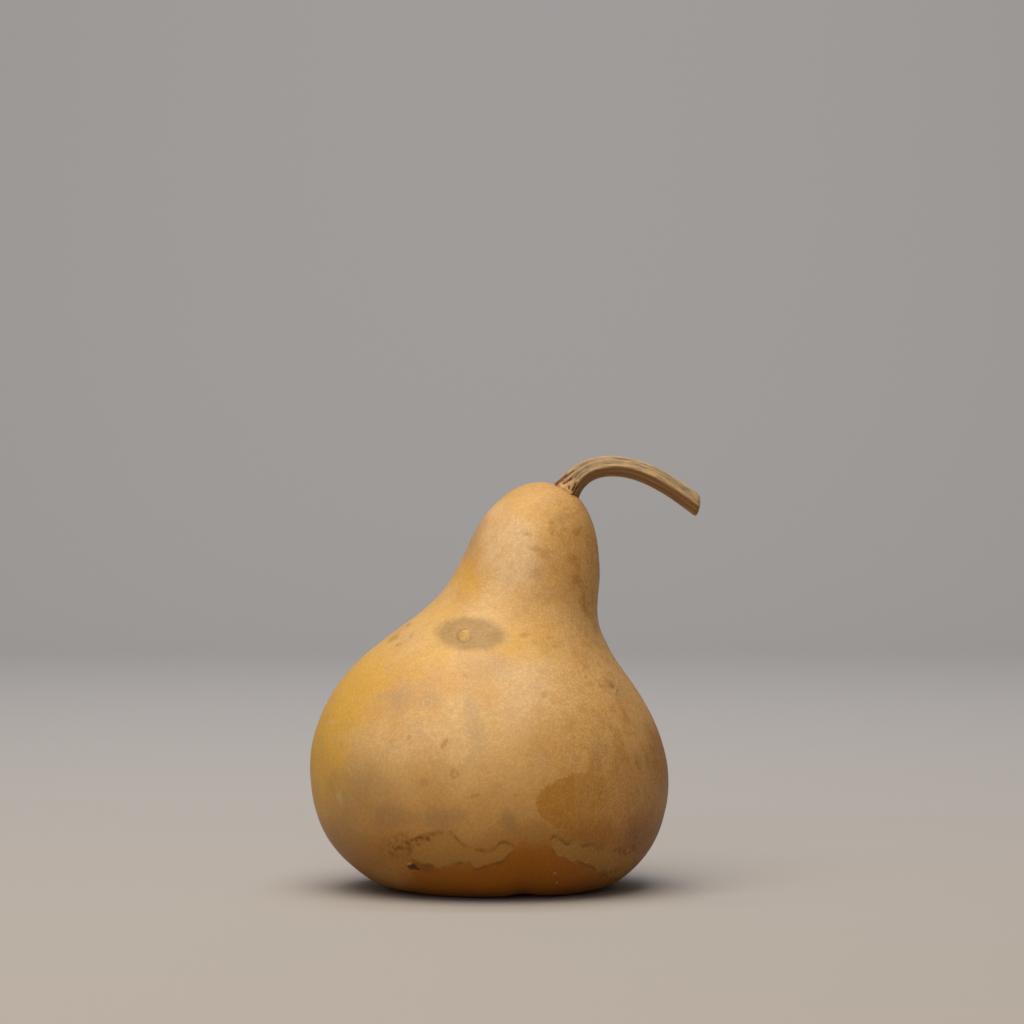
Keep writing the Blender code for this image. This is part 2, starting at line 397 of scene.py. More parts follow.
def plain_body():
    """The gourd's points with no relief, in rings from the top of the neck down, their angles and radii."""
    left = [rib[:2] for rib in RIBS]
    right = [rib[2:] for rib in RIBS]
    outline = spline_controls([STEM_END, *left, BLOSSOM_END, *reversed(right)], closed=True)
    places = np.linspace(0, len(RIBS) + 1, RINGS + 2)[1:-1]
    lefts = spline_points(outline, places, True)
    rights = spline_points(outline, -places, True)
    middle, half = (lefts + rights) / 2, (rights - lefts) / 2
    reach = np.linalg.norm(half, axis=1)
    turn = np.arange(SEGMENTS) * 2 * math.pi / SEGMENTS
    angles = turn + BACK_CROWDING * np.cos(turn)
    lumps = smooth(*LUMPS_RISE, places) * (1 - smooth(*LUMPS_FALL, places))
    swell = 1 + lumps[:, None] * (LUMP_TWO * np.sin(2 * angles) + LUMP_THREE * np.sin(3 * angles))
    lean = LEAN_BACK * smooth(LEAN_FROM, LEAN_TO, middle[:, 1])
    x = middle[:, :1] + half[:, :1] * np.cos(angles) * swell
    y = reach[:, None] * DEPTH_SHARE * np.sin(angles) * swell + lean[:, None]
    z = middle[:, 1:] + half[:, 1:] * np.cos(angles) * swell
    return np.stack([x, y, z], -1), angles, reach


def oval_distance(points, centre, radii):
    """Each point's distance from a mark's middle, as seen from the front: 1 at the mark's edge."""
    across, up = seen_from_front(points)
    return np.hypot((across - centre[0]) / radii[0], (up - centre[1]) / radii[1])


def crease(points):
    """How far the crease up the front of the base moves each point."""
    across = (points[..., 0] - CREASE_X) / CREASE_WIDTH
    front = smooth(0, CREASE_START, -points[..., 1])
    depth = CREASE_DEPTH * np.exp(-across * across) * front * (1 - smooth(0, CREASE_TOP, points[..., 2]))
    return depth[..., None] * np.array(CREASE_INWARD)


def relief(points):
    """How far the rind stands proud of the plain form, in mm."""
    front = points[..., 1] < 0
    high = sum(height * rough(points, size, offset) for height, size, offset in WAVES) - SUNK
    knob = oval_distance(points, KNOB, KNOB_RADII) + 0.25 * rough(points, 1.3, 5.2)
    high += front * KNOB_HEIGHT * (1 - smooth(0.62, 1.12, knob)) * (1 + 0.35 * rough(points, 0.9, 2.4))
    high -= front * KNOB_MOAT * np.exp(-((knob - 1.25) / 0.22) ** 2)
    pit = oval_distance(points, SCAB, SCAB_RADII) + 0.2 * rough(points, 0.8, 4.4)
    high -= front * SCAB_DEPTH * (1 - smooth(0.5, 1.1, pit))
    flap = oval_distance(points, FLAP, FLAP_RADII)
    high += front * FLAP_HEIGHT * (1 - smooth(0.5, 1.25, flap))
    # The blossom end's scar underneath, with faint puckers running out from it.
    across, along = points[..., 0] - BLOSSOM_END[0], points[..., 1]
    out = np.hypot(across, along) + 0.5 * rough(points, 3, 6.6)
    under = points[..., 2] < 6
    pucker = np.sin(PUCKERS * np.arctan2(along, across) + 2 * rough(points, 9, 7.7))
    high -= under * SCAR_DEPTH * (1 - smooth(*SCAR_EDGE, out))
    high -= under * PUCKER_DEPTH * (1 - smooth(*PUCKER_REACH, out)) * (0.5 + 0.5 * pucker)
    return high


def patch_layers(points):
    """How strongly each kind of patch shows at each point. They fade out towards the side that isn't seen."""
    across, up = seen_from_front(points)
    across = across + PATCH_SWAY * rough(points, PATCH_SWAY_SIZE, 4.3)
    up = up + PATCH_SWAY * rough(points, PATCH_SWAY_SIZE, 15.9)
    seen = smooth(-30, -4, -points[..., 1])
    kinds = {name: patches for name, _, patches in PATCHES}
    kinds["mottle"] = MOTTLES
    layers = {}
    for name, patches in kinds.items():
        clear = np.ones(across.shape)
        for (x, z), (wide, tall), turn, strength in patches:
            cos, sin = math.cos(math.radians(turn)), math.sin(math.radians(turn))
            right, high = across - x, up - z
            out = np.hypot((right * cos + high * sin) / wide, (high * cos - right * sin) / tall)
            clear = clear * (1 - strength * (1 - smooth(0.3, 1.3, out)))
        layers[name] = (1 - clear) * seen
    return layers


def make_gourd():
    """The gourd's body with its relief, closed at both ends."""
    points, angles, reach = plain_body()
    points = points + crease(points)
    points = points + outward(points) * relief(points)[..., None]
    points[..., 2] = np.maximum(points[..., 2], 0)
    step = np.linalg.norm(np.diff(points, axis=0), axis=2).mean(1)
    length = np.concatenate([[0], np.cumsum(step)])
    skin = np.stack(
        [
            reach[:, None] * np.cos(angles),
            reach[:, None] * np.sin(angles),
            np.broadcast_to(length[:, None], points.shape[:2]),
        ],
        -1,
    )
    top = points[0].mean(0)
    bottom = points[-1].mean(0)
    across, up = seen_from_front(points)
    layers = patch_layers(points)
    layers["skin"] = skin
    layers["face"] = np.stack([across, up, np.zeros(up.shape)], -1)
    mesh = faces_out(grid_mesh("rind", points, top, bottom, layers))
    gourd = bpy.data.objects.new("rind", mesh)
    bpy.context.scene.collection.objects.link(gourd)
    mesh.materials.append(rind_finish())
    return gourd


def stem_outline(angles):
    """The stem's outline across: five ridges with a lesser rib in each hollow between them."""
    ridge = RIDGE_HEIGHT * (0.5 + 0.5 * np.cos(STEM_RIDGES * angles)) ** RIDGE_SHARPNESS
    rib = RIB_HEIGHT * (0.5 + 0.5 * np.cos(2 * STEM_RIDGES * angles)) ** RIB_SHARPNESS
    return 1 - HOLLOW_DEPTH + ridge + rib


def gash_depth(along, height):
    """How deep in a gash each place on the stem's foot is: 0 outside them all and 1 in their middle."""
    deepest = np.zeros(along.shape)
    for (start, start_height), (end, end_height), half_width in GASHES:
        share = np.clip((along - start) / (end - start), 0, 1)
        aside = height - start_height - (end_height - start_height) * share
        past = along - start - (end - start) * share
        off = np.hypot(aside / half_width, past / (2 * half_width))
        deepest = np.maximum(deepest, 1 - smooth(0.3, 2.2, off))
    return deepest


def stem_grid():
    """The stem's points in mm from foot to cut, what its finish reads, and where and how its line ends."""
    controls = spline_controls(STEM_LINE, closed=False)
    places = np.linspace(STEM_STARTS, len(STEM_LINE) - 1, STEM_RINGS)
    line = spline_points(controls, places, False)
    centre, radius = line[:, :3], line[:, 3]
    ahead = np.gradient(centre, axis=0)
    ahead /= np.linalg.norm(ahead, axis=1, keepdims=True)
    upper = np.cross(ahead, (0, 1, 0))
    upper /= np.linalg.norm(upper, axis=1, keepdims=True)
    front = np.cross(ahead, upper)
    front *= -np.sign(front[:, 1:2])
    length = np.concatenate([[0], np.cumsum(np.linalg.norm(np.diff(centre, axis=0), axis=1))])
    # The sides end just before the middle line meets the cut.
    past = (centre - CUT_AT) @ CUT_NORMAL
    end = np.interp(-CUT_SHORT, past[STEM_RINGS // 2:], length[STEM_RINGS // 2:])
    wanted = np.linspace(0, end, STEM_RINGS)
    centre, ahead, upper, front = (
        np.stack([np.interp(wanted, length, v[:, i]) for i in range(3)], -1)
        for v in (centre, ahead, upper, front)
    )
    radius = np.interp(wanted, length, radius)
    twist = BASE_TWIST * (1 - smooth(0, 0.5, wanted / length[-1]))
    turn = np.arange(STEM_SIDES) * 2 * math.pi / STEM_SIDES
    turn = np.broadcast_to(turn, (STEM_RINGS, STEM_SIDES))
    past_ridge = turn - RIDGE_TURN - twist[:, None]
    outline = stem_outline(past_ridge)
    foot = FOOT_FLARE * np.exp(-(wanted / FOOT_LENGTH) ** 2)
    thick = radius[:, None] * (1 + foot[:, None]) * outline
    along = np.broadcast_to(wanted[:, None], turn.shape)
    fibre = np.stack([SIDE_RADIUS * np.cos(turn), SIDE_RADIUS * np.sin(turn), along], -1)
    thick = thick - SCRAPED - SCRAPED_TOP * np.maximum(np.cos(turn), 0) ** 2
    for height, size, offset, share in STEM_WAVES:
        thick = thick + height * rough(fibre * (1, 1, share), size, offset)
    wavy_height = fibre[..., 0] + 0.35 * rough(fibre * (1, 1, 0.5), 0.9, 4.1)
    gash = gash_depth(along, wavy_height) * (np.sin(turn) > 0)
    thick = thick - GASH_DEPTH * gash
    thick = thick - (ROUNDED + ROUNDED_TOP * np.cos(turn)) * smooth(end - ROUNDED_OVER, end, along) ** 2
    degrees = np.degrees(past_ridge) % 360
    under = smooth(*UNDERSIDE[:2], degrees) * (1 - smooth(*UNDERSIDE[2:], degrees))
    spokes = upper[:, None] * np.cos(turn)[..., None] + front[:, None] * np.sin(turn)[..., None]
    points = centre[:, None] + spokes * thick[..., None]
    # Near the cut, each ring slants a little more, until the last is parallel to the cut.
    near_cut = smooth(end - CUT_BLEND, end, wanted)[:, None, None]
    over = ((CUT_AT - points) @ CUT_NORMAL / (ahead @ CUT_NORMAL)[:, None])[..., None]
    short = ((CUT_AT - centre) @ CUT_NORMAL / (ahead @ CUT_NORMAL))[:, None, None]
    proud = np.interp(np.degrees(turn), *zip(*CUT_RIM))[..., None]
    points = points + ahead[:, None] * (over - short + proud) * near_cut
    hollow = 1 - (outline - outline.min()) / (outline.max() - outline.min())
    return points, {"fibre": fibre, "hollow": hollow, "under": under, "gash": gash}, centre[-1], ahead[-1]


def make_stem():
    """The ridged stem, sunk in the neck at its foot, with a rounded rim and a pithy hollow at its cut end."""
    points, layers, middle, ahead = stem_grid()
    rim = points[-1] - middle
    ends = [middle + rim * share + ahead * out for share, out, _ in CUT_RINGS]
    ends = [e + ahead * 0.06 * rough(e, 0.55, 3.3)[:, None] for e in ends]
    points = np.concatenate([points, ends])
    for name in ("hollow", "under", "gash"):
        layers[name] = np.concatenate([layers[name], np.zeros((len(CUT_RINGS), STEM_SIDES))])
    last = layers["fibre"][-1:]
    inward = [last * (share, share, 1) for share, _, _ in CUT_RINGS]
    layers["fibre"] = np.concatenate([layers["fibre"], *inward])
    cut = np.array([0] * STEM_RINGS + [amount for _, _, amount in CUT_RINGS], float)
    layers["cut"] = np.broadcast_to(cut[:, None], points.shape[:2])
    mesh = faces_out(grid_mesh("stalk", points, points[0].mean(0), points[-1].mean(0), layers))
    stem = bpy.data.objects.new("stalk", mesh)
    bpy.context.scene.collection.objects.link(stem)
    mesh.materials.append(stem_finish())
    return stem


class Signal:
    """A node's output. Sums with it add Math nodes to its finish."""

    def __init__(self, finish, socket):
        self.finish = finish
        self.socket = socket

    def math(self, operation, *values):
        return self.finish.node("ShaderNodeMath", {"operation": operation}, dict(enumerate(values)))

    def __add__(self, other):
        return self.math("ADD", self, other)

    def __radd__(self, other):
        return self.math("ADD", other, self)

    def __sub__(self, other):
        return self.math("SUBTRACT", self, other)

    def __rsub__(self, other):
        return self.math("SUBTRACT", other, self)

    def __mul__(self, other):
        return self.math("MULTIPLY", self, other)

    def __rmul__(self, other):
        return self.math("MULTIPLY", other, self)

    def __truediv__(self, other):
        return self.math("DIVIDE", self, other)

    def __rtruediv__(self, other):
        return self.math("DIVIDE", other, self)

    def __or__(self, other):
        """The greater of the two."""
        return self.math("MAXIMUM", self, other)

    def __and__(self, other):
        """The lesser of the two."""
        return self.math("MINIMUM", self, other)

    def absolute(self):
        return self.math("ABSOLUTE", self)

    def at_least(self, least):
        return self.math("MAXIMUM", self, least)


class Finish:
    """A material under construction, with the few kinds of node that the gourd's finishes are made of."""

    def __init__(self, name):
        self.material = bpy.data.materials.new(name)
        self.material.use_nodes = True
        self.tree = self.material.node_tree
        self.surface = self.tree.nodes["Principled BSDF"]

    def node(self, kind, settings=None, sockets=None, out=0):
        """Adds a node: its settings are set first, then its sockets get their values or links."""
        made = self.tree.nodes.new(kind)
        for name, value in (settings or {}).items():
            if name == "points":
                curve = made.mapping.curves[0]
                while len(curve.points) < len(value):
                    curve.points.new(0.5, 0.5)
                for point, place in zip(curve.points, value):
                    point.location = place
                made.mapping.update()
            else:
                setattr(made, name, value)
        for key, value in (sockets or {}).items():
            if isinstance(value, Signal):
                self.tree.links.new(value.socket, made.inputs[key])
            else:
                made.inputs[key].default_value = value
        return Signal(self, made.outputs[out])

    def layer(self, name, out=1):
        """What the mesh holds under this name: out is 1 for a vector and 2 for a number."""
        return self.node("ShaderNodeAttribute", {"attribute_name": name}, out=out)

    def vector(self, operation, *values, out=0):
        return self.node("ShaderNodeVectorMath", {"operation": operation}, dict(enumerate(values)), out)

    def parts(self, vector):
        """The vector's x, y and z."""
        return [self.node("ShaderNodeSeparateXYZ", {}, {0: vector}, out=i) for i in range(3)]

    def joined(self, x, y, z):
        return self.node("ShaderNodeCombineXYZ", {}, {0: x, 1: y, 2: z})

    def scaled(self, vector, factor):
        """The vector times a number."""
        return self.node("ShaderNodeVectorMath", {"operation": "SCALE"}, {0: vector, "Scale": factor})

    def cloud(self, where, size, detail=2.0, roughness=0.5, offset=0.0, colour=False):
        """Noise with features of this size in mm: a number about 0.5, or with colour three of them."""
        moved = self.vector("ADD", where, (offset, offset * 1.7, offset * 0.6))
        sockets = {"Vector": moved, "Scale": 1 / size, "Detail": detail, "Roughness": roughness}
        return self.node("ShaderNodeTexNoise", {}, sockets, out=1 if colour else 0)

    def shaken(self, where, size, reach, offset=0.0):
        """Places moved this way and that by noise, up to about reach mm."""
        cloud = self.cloud(where, size, 3.0, 0.6, offset, colour=True)
        push = self.vector("SUBTRACT", cloud, (0.5, 0.5, 0.5))
        return self.vector("ADD", where, self.scaled(push, 2.5 * reach))

    def fade(self, value, low, high):
        """0 at low, 1 at high and smooth between. Low may be the greater."""
        sockets = {"Value": value, "From Min": low, "From Max": high}
        return self.node("ShaderNodeMapRange", {"interpolation_type": "SMOOTHSTEP", "clamp": False}, sockets)

    def oval(self, where, centre, radii, turn=0, edge=(1.15, 0.7)):
        """1 in an oval of the front view, 0 outside it. Its edge fades between two shares of its radii."""
        sockets = {
            "Vector": where,
            "Location": (*centre, 0),
            "Rotation": (0, 0, math.radians(turn)),
            "Scale": (*radii, 1),
        }
        local = self.node("ShaderNodeMapping", {"vector_type": "TEXTURE"}, sockets)
        return self.fade(self.vector("LENGTH", local, out=1), *edge)

    def ring(self, where, centre, radius, width):
        """A thin ring in the front view."""
        sockets = {"Vector": where, "Location": (*centre, 0), "Scale": (radius, radius, 1)}
        local = self.node("ShaderNodeMapping", {"vector_type": "TEXTURE"}, sockets)
        off = (self.vector("LENGTH", local, out=1) - 1).absolute()
        return self.fade(off, width / radius, 0)

    def over(self, under, colour, mask):
        """The colour laid over another by a mask."""
        return self.node("ShaderNodeMix", {"data_type": "RGBA"}, {0: mask, 6: under, 7: colour}, out=2)

    def tinted(self, under, colour, mask):
        """The colour multiplied into another by a mask."""
        settings = {"data_type": "RGBA", "blend_type": "MULTIPLY"}
        return self.node("ShaderNodeMix", settings, {0: mask, 6: under, 7: colour}, out=2)

    def feed(self, socket, value):
        self.tree.links.new(value.socket, self.surface.inputs[socket])

    def bump(self, height, reach):
        """Fine relief on the surface, where a height of 1 is reach mm."""
        sockets = {"Height": height, "Distance": reach * MM, "Strength": 1.0}
        self.feed("Normal", self.node("ShaderNodeBump", {}, sockets))


# Small brown spots and dashes: the middle, the radii, the turn and the strength.
SPOTS = (
    ((11.4, 57.3), (0.8, 0.8), 0, 0.5),
    ((-17.9, 42.8), (0.6, 2.0), -32, 0.6),
    ((-9.0, 27.4), (1.7, 0.5), 25, 0.4),
    ((3.0, 27.6), (0.7, 0.7), 0, 0.4),
    ((-28.3, 44.8), (0.6, 0.7), 0, 0.45),
    ((-24.2, 31.5), (1.6, 1.2), 0, 0.3),
    ((-32.8, 74.1), (2.0, 0.7), 35, 0.6),
    ((-31.3, 72.2), (1.1, 0.45), 30, 0.5),
    ((-28.6, 77.9), (0.9, 0.45), 30, 0.5),
    ((-27.7, 74.8), (0.8, 0.5), 20, 0.4),
    ((-2.8, 83.1), (0.45, 0.3), 0, 0.6),
    ((-6.8, 89.5), (0.45, 0.3), 0, 0.4),
    ((24.0, 62.6), (0.4, 0.5), 0, 0.5),
    ((28.7, 59.6), (0.6, 0.5), 0, 0.5),
    ((24.9, 60.5), (1.4, 0.8), 0, 0.4),
    ((5.9, 75.0), (1.5, 0.7), 10, 0.5),
    ((13.0, 74.1), (0.7, 0.5), 0, 0.4),
    ((14.4, 71.7), (0.5, 0.5), 0, 0.4),
    ((6.5, 104.8), (1.2, 0.5), 20, 0.4),
    ((-34.0, 5.4), (0.5, 0.5), 0, 0.5),
    ((-45.8, 17.3), (0.9, 0.7), 0, 0.3),
)

SPOT_SPACING = 13  # mm between the spots on the far side

# The tide bands' upper and lower edges: x and z in mm, as the front shows them.
LEFT_BAND_TOP = (
    (-28, 13.6), (-25, 15.2), (-20, 16.4), (-16, 16.2), (-13.6, 14), (-11.5, 12.5), (-6.8, 11.1),
    (-3.2, 11.4), (-1.2, 13.6), (2, 12.9), (3, 11),
)
LEFT_BAND_FOOT = (
    (-28, 9), (-26, 7.8), (-23, 7.1), (-18.6, 6), (-15.3, 7.2), (-12.5, 7.5), (-10, 7.1), (-8.8, 5.7),
    (-5.3, 6.9), (-1.2, 7.9), (1.2, 10), (3, 11.8),
)
RIGHT_BAND_TOP = (
    (13.5, 14), (14.4, 15.3), (16.3, 14.6), (18.4, 13.1), (20.7, 14), (22.8, 12.5), (26, 12.8),
    (27.2, 11.5), (30, 11.1), (33.2, 11.4), (38, 12.5),
)
RIGHT_BAND_FOOT = (
    (13.5, 13), (14.6, 10.8), (15.7, 9.6), (17.2, 9.2), (19.3, 7.8), (21.3, 8.1), (23.1, 7.2),
    (26.4, 6.0), (27.2, 4.8), (29.3, 4.2), (32.0, 3.0), (38, 2.5),
)
CURVE_TOP = 20  # the height in mm that counts as 1 in the bands' curves


def height_at(finish, across, outline):
    """The height of an outline, given as points from left to right, at each place across."""
    left, right = outline[0][0], outline[-1][0]
    points = [((x - left) / (right - left), z / CURVE_TOP) for x, z in outline]
    share = (across - left) / (right - left)
    return finish.node("ShaderNodeFloatCurve", {"points": points}, {"Value": share}) * CURVE_TOP


def band_depth(finish, where, top, foot):
    """How many mm inside a band between two outlines a place is: less than 0 outside it."""
    across, up, _ = finish.parts(where)
    inside = (height_at(finish, across, top) - up) & (up - height_at(finish, across, foot))
    return inside & (across - top[0][0]) & (top[-1][0] - across)


def base_colour(rind, place, skin):
    """The rind's soft colours: ochre and tan, darker and redder below, partly as painted shade, with patches
    and streaks.
    """
    x, y, _ = rind.parts(place)
    _, _, z_loose = rind.parts(rind.shaken(place, 11, 3.5, 2.0))
    colour = rind.over(TAN, OCHRE, rind.fade(rind.cloud(place, 17, 3.0), 0.38, 0.62))
    colour = rind.over(colour, OCHRE, rind.fade(x, -6, 26) * 0.5)
    # Darker and redder towards the bottom: partly the rind's own colour and partly painted shade.
    colour = rind.over(colour, RUSSET, rind.fade(z_loose, 48, 22) * 0.85)
    colour = rind.over(colour, BROWN, rind.fade(z_loose, 26, 13) * 0.80)
    for name, tint, _ in PATCHES:
        colour = rind.over(colour, tint, rind.layer(name, out=2))

    # Patches on the side that the photograph doesn't show.
    behind = rind.fade(y, 4, 30)
    for tint, offset in ((YELLOW, 11.0), (MAUVE, 23.0), (OLIVE, 37.0)):
        cloud = rind.fade(rind.cloud(place, 26, 2.0, 0.4, offset), 0.53, 0.68)
        colour = rind.over(colour, tint, cloud * behind * 0.42)

    # Mottles and streaks that run down the rind, most of them on its right side.
    streak = rind.cloud(rind.vector("MULTIPLY", skin, (1, 1, 0.6)), 4.5, 6.0, 0.66)
    to_right = rind.fade(x, 2, 30)
    colour = rind.over(colour, RUST, rind.fade(streak, 0.50, 0.60) * (0.05 + 0.30 * to_right))
    colour = rind.over(colour, GREY_BROWN, rind.fade(streak, 0.40, 0.30) * (0.03 + 0.18 * to_right))
    torn = rind.layer("mottle", out=2) + 2.8 * (rind.cloud(place, 2.2, 7.0, 0.72, 21.0) - 0.5)
    colour = rind.tinted(colour, TORN_MOTTLE, rind.fade(torn, 0.34, 0.90) * 0.72)
    cloudy = rind.cloud(place, 5.5, 4.0, 0.6, 14.0)
    higher = rind.fade(z_loose, 12, 45)
    colour = rind.over(colour, MAUVE, rind.fade(cloudy, 0.50, 0.66) * higher * 0.27)
    return rind.over(colour, OCHRE, rind.fade(cloudy, 0.46, 0.34) * higher * 0.32)


def rind_finish():
    """The dried rind: soft colours, tide bands, a ring mark, spots, scars and a fine mottling."""
    rind = Finish("dried_rind")
    place = rind.scaled(rind.node("ShaderNodeTexCoord", out=3), 1 / MM)
    x, y, z = rind.parts(place)
    face = rind.layer("face")
    front = rind.fade(y, 6, -8)
    skin = rind.layer("skin")
    fine = rind.shaken(face, 1.1, 0.40)
    loose = rind.shaken(face, 7, 2.6, 4.0)
    x_loose, _, _ = rind.parts(loose)
    grain = rind.cloud(place, 0.62, 3.0, 0.65)
    soft = rind.cloud(rind.vector("MULTIPLY", skin, (1, 1, 0.8)), 1.4, 3.0, 0.60, 6.0)
    colour = base_colour(rind, place, skin)

    # The orange patch low on the right, which has a crisp edge on its left side only.
    patch = rind.oval(rind.shaken(face, 4.5, 0.9, 8.0), (23.4, 25.6), (14.2, 8.4), 4, (1.03, 0.97))
    patch = patch & rind.fade(x_loose, 35, 12)
    colour = rind.over(colour, ORANGE, patch * front * (0.35 + 0.8 * soft))

    # Below the tide bands the base is a deep orange, duller at both sides. It is partly the rind's own colour
    # and partly painted shade on the underside.
    ragged = rind.shaken(place, 7, 2.3, 3.0)
    _, _, z_ragged = rind.parts(ragged)
    between = rind.fade((x_loose - 6).absolute(), 17, 5)
    low = rind.fade(z_ragged - 5.5 * between, 14.5, 8.5)
    middle = rind.fade(x_loose, -34, -24) * rind.fade(x_loose, 44, 16)
    colour = rind.over(colour, DEEP_ORANGE, low * (0.14 + 0.83 * middle))

    # The tide bands, paler than the base, with thin dark lines along their edges. They run on round the back.
    left_band = band_depth(rind, fine, LEFT_BAND_TOP, LEFT_BAND_FOOT)
    right_band = band_depth(rind, fine, RIGHT_BAND_TOP, RIGHT_BAND_FOOT)
    gaps = rind.fade(rind.cloud(place, 9, 2.0, 0.5, 31.0), 0.50, 0.60)
    back_band = 2.4 - (z_ragged - 10.5).absolute() - gaps * 6
    depth = (left_band | right_band) * front + back_band * (1 - front)
    inside = rind.fade(depth, -0.1, 0.35)
    line = rind.fade(depth, -1.1, -0.05) * rind.fade(depth, 0.8, 0.05)
    broken = rind.fade(rind.cloud(face, 4.0, 3.0, 0.6, 19.0), 0.36, 0.62)
    colour = rind.over(colour, TIDE, inside * (0.70 + 0.4 * soft))
    colour = rind.over(colour, UMBER, line * broken * 0.62)

    # The grey ring mark on the shoulder, darkest at its right end, and the knob in its middle.
    hazy = rind.shaken(face, 2.2, 0.7, 7.0)
    mark = rind.oval(hazy, (-10.3, 75.2), (10.3, 5.1), -3, (1.20, 0.74))
    dark_end = rind.oval(hazy, (-2.2, 75), (2.6, 2.8), 0, (1.2, 0.3))
    colour = rind.over(colour, RING_GREY, mark * front * (0.74 + 0.25 * soft))
    colour = rind.over(colour, GREY_BROWN, dark_end * front * 0.16)
    flecks = rind.fade(rind.cloud(face, 0.75, 3.0, 0.7, 17.0), 0.48, 0.60)
    knob = rind.oval(fine, KNOB, KNOB_RADII, 0, (1.05, 0.80))
    # A brown ring round the knob, widest at its lower left: partly the knob's brown rim and partly its
    # painted shadow.
    rim = rind.oval(fine, (KNOB[0] - 0.25, KNOB[1] - 0.35), (2.5, 2.3), 0, (1.15, 0.7))
    colour = rind.over(colour, SPOT_BROWN, (rim - knob).at_least(0) * front * 0.35)
    colour = rind.over(colour, KNOB_GOLD, knob * front * 0.75)
    colour = rind.over(colour, RUST, knob * flecks * front * 0.65)
    # A yellow line along the knob's top: partly a lifted flake and partly a painted highlight.
    flake_and_highlight = rind.oval(fine, (KNOB[0] + 0.5, KNOB[1] + 1.35), (1.2, 0.22), 8)
    colour = rind.over(colour, YELLOW, flake_and_highlight * front * 0.9)

    # Spots, dashes and small rings.
    marks = rind.ring(fine, (-14.9, 33.9), 1.0, 1.0) * 0.5
    marks = marks | rind.ring(fine, (11.4, 57.3), 0.75, 0.5) * 0.4
    for centre, radii, turn, strength in SPOTS:
        marks = marks | rind.oval(fine, centre, radii, turn, (1.5, 0.5)) * strength
    colour = rind.over(colour, SPOT_BROWN, marks * front * 0.65)

    # Broken dark streaks on the right shoulder and at the right of the base.
    dark = rind.oval(hazy, (31.9, 59.6), (1.3, 4.8), 31, (1.3, 0.1))
    dark = dark | rind.oval(hazy, (38, 16), (2.6, 1.8), 40, (1.3, 0.2))
    dark = dark * rind.fade(rind.cloud(face, 1.3, 4.0, 0.65, 12.0), 0.34, 0.60)
    colour = rind.over(colour, GREY_BROWN, dark * front * 0.62)

    # Pale chips, most of them on the left side, and faint pale whorls.
    chips = rind.oval(fine, (-48.9, 27.0), (0.9, 2.8), 14, (1.3, 0.1))
    for centre, radii in (
        ((-46.2, 35.3), (0.6, 1.0)),
        ((-51.1, 49.2), (0.9, 1.0)),
        ((2.3, 88.3), (0.8, 0.7)),
    ):
        chips = chips | rind.oval(fine, centre, radii, 0, (1.3, 0.1))
    whorls = rind.ring(fine, (-23.0, 54.8), 1.3, 0.6) | rind.ring(fine, (-28.6, 50.4), 1.0, 0.6)
    colour = rind.over(colour, CHIP, (chips * 0.45 | whorls * 0.25) * front)

    # Brown speckles above the scab, the scab with its stain, and the cracks at the right of the base.
    grains = rind.fade(rind.cloud(face, 1.4, 5.0, 0.72, 9.0), 0.46, 0.58)
    rough_left = rind.oval(hazy, (-31, 12.4), (6.4, 4.4), 20, (1.25, 0.1))
    rough_left = rough_left | rind.oval(hazy, (-25.4, 14), (5, 1.6), 18)
    rough_right = rind.oval(hazy, (31.3, 4.6), (5.2, 1.6), 12, (1.25, 0.1))
    rough_right = rough_right | rind.oval(hazy, (35.4, 11), (2.4, 1.8), 0)
    rough_areas = rough_left | rough_right * 0.8
    colour = rind.over(colour, RUST, rough_areas * front * 0.40)
    colour = rind.over(colour, UMBER, grains * rough_areas * front * 0.80)
    stain = rind.oval(hazy, (-23.4, 6.0), (4.2, 1.3), -14, (1.3, 0.2))
    colour = rind.over(colour, UMBER, stain * front * 0.55)
    pit = rind.oval(fine, SCAB, SCAB_RADII, -14, (1.25, 0.75))
    pit = pit | rind.oval(fine, (-26.0, 5.9), (1.0, 0.5), -20)
    colour = rind.over(colour, DARK_BROWN, pit * front * 0.94)
    flap = rind.oval(fine, FLAP, FLAP_RADII, 10, (1.0, 0.5))
    crumbs = rind.oval(fine, (14.8, 4.5), (0.45, 0.35)) | rind.oval(fine, (15.4, 1.6), (0.4, 0.3))
    colour = rind.over(colour, CHIP, (flap | crumbs) * front * 0.6)

    # Scattered spots on the far side, and the dark scar of the blossom end underneath.
    cells = {"Vector": place, "Scale": 1 / SPOT_SPACING}
    near = rind.node("ShaderNodeTexVoronoi", {}, cells) * SPOT_SPACING
    cell_colour = rind.node("ShaderNodeTexVoronoi", {}, cells, out=1)
    chance = rind.node("ShaderNodeSeparateColor", {}, {0: cell_colour})
    colour = rind.over(colour, SPOT_BROWN, rind.fade(near + 1.2 * chance, 1.4, 0.6) * (1 - front) * 0.6)
    out = rind.vector("LENGTH", rind.joined(x - BLOSSOM_END[0], y, 0), out=1)
    scar = rind.fade(out + 3 * (rind.cloud(place, 1.6) - 0.5), 4.6, 2.8) * rind.fade(z, 4, 2)
    colour = rind.over(colour, SPOT_BROWN, scar * 0.85)

    # Fine mottling, stronger on the right side, and thin winding lines over everything.
    mottled = rind.fade(grain, 0.42, 0.62) * (0.42 + 0.38 * rind.fade(x, 2, 28))
    colour = rind.tinted(colour, FINE_MOTTLE, mottled)
    colour = rind.tinted(colour, SOFT_MOTTLE, rind.fade(soft, 0.42, 0.62) * 0.30)
    winding = rind.fade((grain - 0.5).absolute(), 0.05, 0.0)
    colour = rind.tinted(colour, WINDING_LINE, winding * 0.42)
    rind.feed("Base Color", colour)

    gloss = 0.50 + 0.20 * (soft - 0.5) + 0.12 * (grain - 0.5) + 0.12 * inside
    rind.feed("Roughness", gloss + 0.25 * (pit * front))
    rind.surface.inputs["Specular IOR Level"].default_value = 0.36
    rind.surface.inputs["Specular Tint"].default_value = SHEEN
    rind.bump(0.4 * grain + 0.4 * soft, 0.05)
    return rind.material


